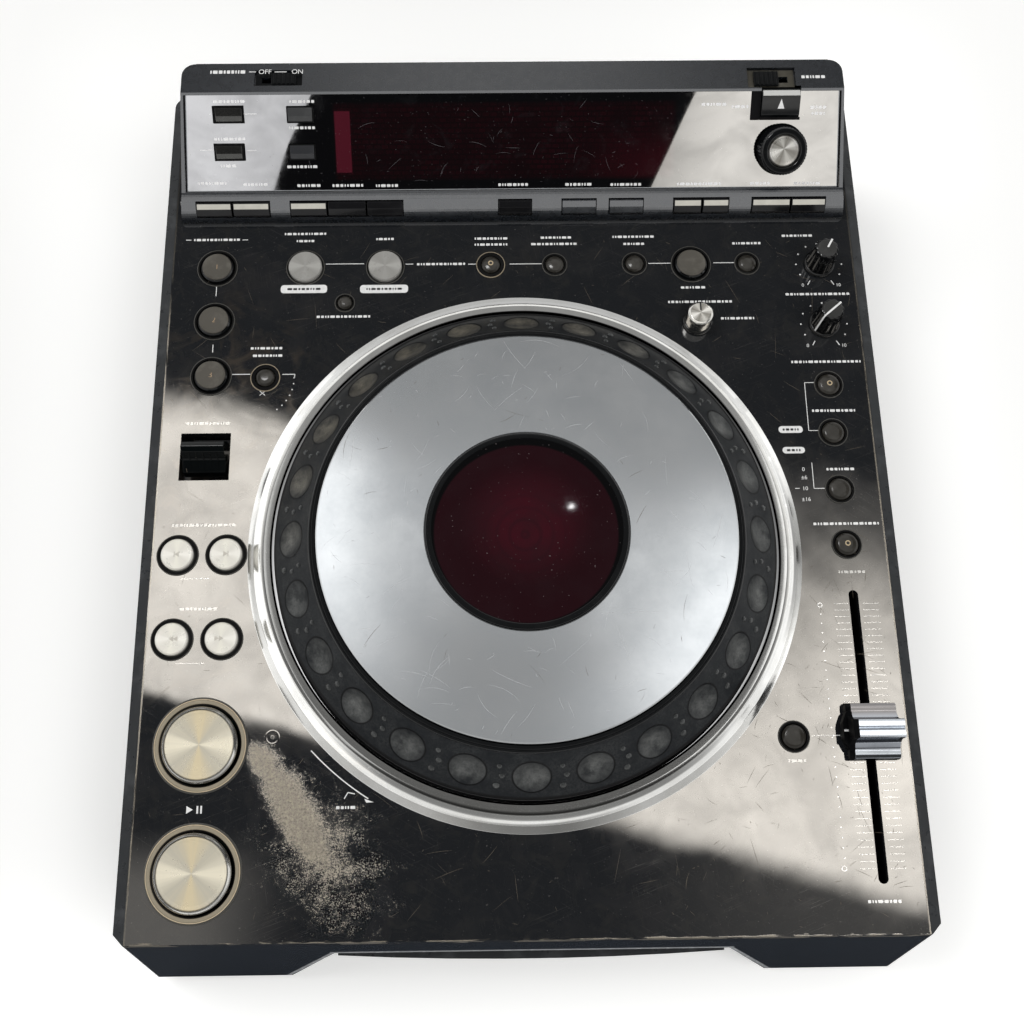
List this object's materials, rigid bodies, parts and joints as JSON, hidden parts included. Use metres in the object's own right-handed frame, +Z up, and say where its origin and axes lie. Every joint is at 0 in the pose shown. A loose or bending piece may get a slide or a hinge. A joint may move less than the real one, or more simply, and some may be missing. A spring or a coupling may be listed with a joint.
{
  "type": "tabletop disc player for djs",
  "caption": "Tabletop DJ disc player with a large jog wheel, slot-loading front, sloped display housing, round control buttons and a long pitch fader.",
  "frame": {"origin": "on the surface the player stands on, under the middle of its bounding box", "axes": "+X to the user's right, +Y from the front panel to the rear sockets, +Z up"},
  "size_m": [0.32, 0.4, 0.108],
  "materials": {
    "case_plastic": "fine-grained, worn",
    "fascia_gloss": "gloss",
    "deck_paint": "satin lacquer with scratches",
    "housing_plastic": "matte",
    "window_smoke": "smoked, glossy",
    "display": "gloss",
    "rear_steel": "satin",
    "bezel_silver": "satin, worn",
    "inner_plastic": "moulded",
    "dial_plastic": "satin metallic",
    "plate_aluminium": "spun",
    "lens_red": "gloss, tinted",
    "collar_plastic": "gloss",
    "ring_translucent": "translucent",
    "board": "solder-masked",
    "sheet_steel": "plain",
    "turntable_plastic": "moulded",
    "sled_metal": "die-cast",
    "roller_rubber": "matte",
    "foot_rubber": "matte",
    "screw_steel": "zinc plated",
    "dark_cap": "satin",
    "pale_cap": "translucent",
    "metal_cap": "metallised, spun",
    "knob_black": "matte",
    "knob_metal": "turned",
    "fader_cap": "metallised",
    "key_plastic": "satin"
  },
  "bodies": {
    "case": {"lower_case": "case_plastic", "front_fascia": "fascia_gloss", "deck_panel": "deck_paint", "display_housing": "housing_plastic", "display_window": "window_smoke", "display_module": "display", "rear_panel": "rear_steel", "jog_bezel": "bezel_silver", "jog_post": "inner_plastic", "button_collars": "collar_plastic", "light_rings": "ring_translucent", "circuit_boards": "board", "fader_unit": "sheet_steel", "drive_frame": "sheet_steel", "feet": "foot_rubber", "screws": "screw_steel"},
    "jog_dial": {"jog_dial": "dial_plastic"},
    "jog_plate": {"jog_plate": "plate_aluminium", "jog_lens": "lens_red"},
    "hot_cue_a_button": {"hot_cue_a_button": "dark_cap"},
    "hot_cue_b_button": {"hot_cue_b_button": "dark_cap"},
    "hot_cue_c_button": {"hot_cue_c_button": "dark_cap"},
    "loop_jump_button": {"loop_jump_button": "dark_cap"},
    "loop_in_button": {"loop_in_button": "pale_cap"},
    "loop_out_button": {"loop_out_button": "pale_cap"},
    "reloop_button": {"reloop_button": "dark_cap"},
    "beat_down_button": {"beat_down_button": "dark_cap"},
    "beat_up_button": {"beat_up_button": "dark_cap"},
    "call_back_button": {"call_back_button": "dark_cap"},
    "memory_button": {"memory_button": "dark_cap"},
    "call_next_button": {"call_next_button": "dark_cap"},
    "jog_mode_button": {"jog_mode_button": "dark_cap"},
    "vinyl_mode_button": {"vinyl_mode_button": "dark_cap"},
    "tempo_range_button": {"tempo_range_button": "dark_cap"},
    "key_lock_button": {"key_lock_button": "dark_cap"},
    "tempo_reset_button": {"tempo_reset_button": "dark_cap"},
    "track_back_button": {"track_back_button": "pale_cap"},
    "track_next_button": {"track_next_button": "pale_cap"},
    "search_back_button": {"search_back_button": "pale_cap"},
    "search_next_button": {"search_next_button": "pale_cap"},
    "cue_button": {"cue_button": "metal_cap"},
    "play_button": {"play_button": "metal_cap"},
    "direction_lever": {"direction_lever": "knob_black"},
    "touch_knob": {"touch_knob": "knob_metal"},
    "brake_knob": {"brake_knob": "knob_black"},
    "start_knob": {"start_knob": "knob_black"},
    "selector_knob": {"selector_knob": "knob_black"},
    "fader_knob": {"fader_knob": "fader_cap"},
    "eject_button": {"eject_button": "dark_cap"},
    "lock_slider": {"lock_slider": "knob_black"},
    "power_slider": {"power_slider": "knob_black"},
    "window_keys_left": {"window_keys_left": "key_plastic"},
    "window_keys_right": {"window_keys_right": "key_plastic"},
    "ledge_keys_a": {"ledge_keys_a": "key_plastic"},
    "ledge_keys_b": {"ledge_keys_b": "key_plastic"},
    "ledge_keys_c": {"ledge_keys_c": "key_plastic"},
    "ledge_keys_d": {"ledge_keys_d": "key_plastic"},
    "disc_turntable": {"disc_turntable": "turntable_plastic"},
    "laser_sled": {"laser_sled": "sled_metal"},
    "loading_roller": {"loading_roller": "roller_rubber"}
  },
  "joints": [
    {"name": "jog_spin", "type": "hinge", "parent": "case", "child": "jog_dial", "pos_m": [0.002, -0.02852, 0.085], "axis": [0, 0, 1], "continuous": true},
    {"name": "jog_plate_press", "type": "slide", "parent": "jog_dial", "child": "jog_plate", "axis": [0, 0, -1], "range_m": [0, 0.0006], "stiffness_N_per_m": 12000, "springref_m": -0.0003},
    {"name": "hot_cue_a_press", "type": "slide", "parent": "case", "child": "hot_cue_a_button", "axis": [0, 0, -1], "range_m": [0, 0.0012], "stiffness_N_per_m": 400, "springref_m": -0.0006},
    {"name": "hot_cue_b_press", "type": "slide", "parent": "case", "child": "hot_cue_b_button", "axis": [0, 0, -1], "range_m": [0, 0.0012], "stiffness_N_per_m": 400, "springref_m": -0.0006},
    {"name": "hot_cue_c_press", "type": "slide", "parent": "case", "child": "hot_cue_c_button", "axis": [0, 0, -1], "range_m": [0, 0.0012], "stiffness_N_per_m": 400, "springref_m": -0.0006},
    {"name": "loop_jump_press", "type": "slide", "parent": "case", "child": "loop_jump_button", "axis": [0, 0, -1], "range_m": [0, 0.0012], "stiffness_N_per_m": 400, "springref_m": -0.0006},
    {"name": "loop_in_press", "type": "slide", "parent": "case", "child": "loop_in_button", "axis": [0, 0, -1], "range_m": [0, 0.0012], "stiffness_N_per_m": 400, "springref_m": -0.0006},
    {"name": "loop_out_press", "type": "slide", "parent": "case", "child": "loop_out_button", "axis": [0, 0, -1], "range_m": [0, 0.0012], "stiffness_N_per_m": 400, "springref_m": -0.0006},
    {"name": "reloop_press", "type": "slide", "parent": "case", "child": "reloop_button", "axis": [0, 0, -1], "range_m": [0, 0.0012], "stiffness_N_per_m": 400, "springref_m": -0.0006},
    {"name": "beat_down_press", "type": "slide", "parent": "case", "child": "beat_down_button", "axis": [0, 0, -1], "range_m": [0, 0.0012], "stiffness_N_per_m": 400, "springref_m": -0.0006},
    {"name": "beat_up_press", "type": "slide", "parent": "case", "child": "beat_up_button", "axis": [0, 0, -1], "range_m": [0, 0.0012], "stiffness_N_per_m": 400, "springref_m": -0.0006},
    {"name": "call_back_press", "type": "slide", "parent": "case", "child": "call_back_button", "axis": [0, 0, -1], "range_m": [0, 0.0012], "stiffness_N_per_m": 400, "springref_m": -0.0006},
    {"name": "memory_press", "type": "slide", "parent": "case", "child": "memory_button", "axis": [0, 0, -1], "range_m": [0, 0.0012], "stiffness_N_per_m": 400, "springref_m": -0.0006},
    {"name": "call_next_press", "type": "slide", "parent": "case", "child": "call_next_button", "axis": [0, 0, -1], "range_m": [0, 0.0012], "stiffness_N_per_m": 400, "springref_m": -0.0006},
    {"name": "jog_mode_press", "type": "slide", "parent": "case", "child": "jog_mode_button", "axis": [0, 0, -1], "range_m": [0, 0.0012], "stiffness_N_per_m": 400, "springref_m": -0.0006},
    {"name": "vinyl_mode_press", "type": "slide", "parent": "case", "child": "vinyl_mode_button", "axis": [0, 0, -1], "range_m": [0, 0.0012], "stiffness_N_per_m": 400, "springref_m": -0.0006},
    {"name": "tempo_range_press", "type": "slide", "parent": "case", "child": "tempo_range_button", "axis": [0, 0, -1], "range_m": [0, 0.0012], "stiffness_N_per_m": 400, "springref_m": -0.0006},
    {"name": "key_lock_press", "type": "slide", "parent": "case", "child": "key_lock_button", "axis": [0, 0, -1], "range_m": [0, 0.0012], "stiffness_N_per_m": 400, "springref_m": -0.0006},
    {"name": "tempo_reset_press", "type": "slide", "parent": "case", "child": "tempo_reset_button", "axis": [0, 0, -1], "range_m": [0, 0.0012], "stiffness_N_per_m": 400, "springref_m": -0.0006},
    {"name": "track_back_press", "type": "slide", "parent": "case", "child": "track_back_button", "axis": [0, 0, -1], "range_m": [0, 0.0012], "stiffness_N_per_m": 400, "springref_m": -0.0006},
    {"name": "track_next_press", "type": "slide", "parent": "case", "child": "track_next_button", "axis": [0, 0, -1], "range_m": [0, 0.0012], "stiffness_N_per_m": 400, "springref_m": -0.0006},
    {"name": "search_back_press", "type": "slide", "parent": "case", "child": "search_back_button", "axis": [0, 0, -1], "range_m": [0, 0.0012], "stiffness_N_per_m": 400, "springref_m": -0.0006},
    {"name": "search_next_press", "type": "slide", "parent": "case", "child": "search_next_button", "axis": [0, 0, -1], "range_m": [0, 0.0012], "stiffness_N_per_m": 400, "springref_m": -0.0006},
    {"name": "cue_press", "type": "slide", "parent": "case", "child": "cue_button", "axis": [0, 0, -1], "range_m": [0, 0.0012], "stiffness_N_per_m": 700, "springref_m": -0.0006},
    {"name": "play_press", "type": "slide", "parent": "case", "child": "play_button", "axis": [0, 0, -1], "range_m": [0, 0.0012], "stiffness_N_per_m": 700, "springref_m": -0.0006},
    {"name": "direction_tilt", "type": "hinge", "parent": "case", "child": "direction_lever", "pos_m": [-0.1356, 0.01398, 0.063], "axis": [1, 0, 0], "range_deg": [0, 24]},
    {"name": "touch_turn", "type": "hinge", "parent": "case", "child": "touch_knob", "pos_m": [0.082, 0.07588, 0.07], "axis": [0, 0, 1], "range_deg": [-150, 150]},
    {"name": "brake_turn", "type": "hinge", "parent": "case", "child": "brake_knob", "pos_m": [0.1395, 0.10438, 0.07], "axis": [0, 0, 1], "range_deg": [-150, 150]},
    {"name": "start_turn", "type": "hinge", "parent": "case", "child": "start_knob", "pos_m": [0.139, 0.07436, 0.07], "axis": [0, 0, 1], "range_deg": [-150, 150]},
    {"name": "selector_turn", "type": "hinge", "parent": "case", "child": "selector_knob", "pos_m": [0.1209, 0.15115, 0.09116], "axis": [0, -0.6428, 0.766], "continuous": true},
    {"name": "tempo_slide", "type": "slide", "parent": "case", "child": "fader_knob", "axis": [0, 1, 0], "range_m": [-0.05, 0.05]},
    {"name": "eject_press", "type": "slide", "parent": "case", "child": "eject_button", "axis": [0, 0.6428, -0.766], "range_m": [0, 0.0012], "stiffness_N_per_m": 400, "springref_m": -0.0006},
    {"name": "lock_slide", "type": "slide", "parent": "case", "child": "lock_slider", "axis": [1, 0, 0], "range_m": [0, 0.0045]},
    {"name": "power_slide", "type": "slide", "parent": "case", "child": "power_slider", "axis": [1, 0, 0], "range_m": [-0.0045, 0]},
    {"name": "window_keys_left_press", "type": "slide", "parent": "case", "child": "window_keys_left", "axis": [0, 0.6428, -0.766], "range_m": [0, 0.0012], "stiffness_N_per_m": 400, "springref_m": -0.0006},
    {"name": "window_keys_right_press", "type": "slide", "parent": "case", "child": "window_keys_right", "axis": [0, 0.6428, -0.766], "range_m": [0, 0.0012], "stiffness_N_per_m": 400, "springref_m": -0.0006},
    {"name": "ledge_keys_a_press", "type": "slide", "parent": "case", "child": "ledge_keys_a", "axis": [0, 0.7071, -0.7071], "range_m": [0, 0.0012], "stiffness_N_per_m": 400, "springref_m": -0.0006},
    {"name": "ledge_keys_b_press", "type": "slide", "parent": "case", "child": "ledge_keys_b", "axis": [0, 0.7071, -0.7071], "range_m": [0, 0.0012], "stiffness_N_per_m": 400, "springref_m": -0.0006},
    {"name": "ledge_keys_c_press", "type": "slide", "parent": "case", "child": "ledge_keys_c", "axis": [0, 0.7071, -0.7071], "range_m": [0, 0.0012], "stiffness_N_per_m": 400, "springref_m": -0.0006},
    {"name": "ledge_keys_d_press", "type": "slide", "parent": "case", "child": "ledge_keys_d", "axis": [0, 0.7071, -0.7071], "range_m": [0, 0.0012], "stiffness_N_per_m": 400, "springref_m": -0.0006},
    {"name": "disc_spin", "type": "hinge", "parent": "case", "child": "disc_turntable", "pos_m": [0.002, -0.1002, 0.04], "axis": [0, 0, 1], "continuous": true},
    {"name": "sled_travel", "type": "slide", "parent": "case", "child": "laser_sled", "axis": [0, 1, 0], "range_m": [0, 0.033]},
    {"name": "roller_spin", "type": "hinge", "parent": "case", "child": "loading_roller", "pos_m": [0.002, -0.17504, 0.0419], "axis": [1, 0, 0], "continuous": true}
  ]
}
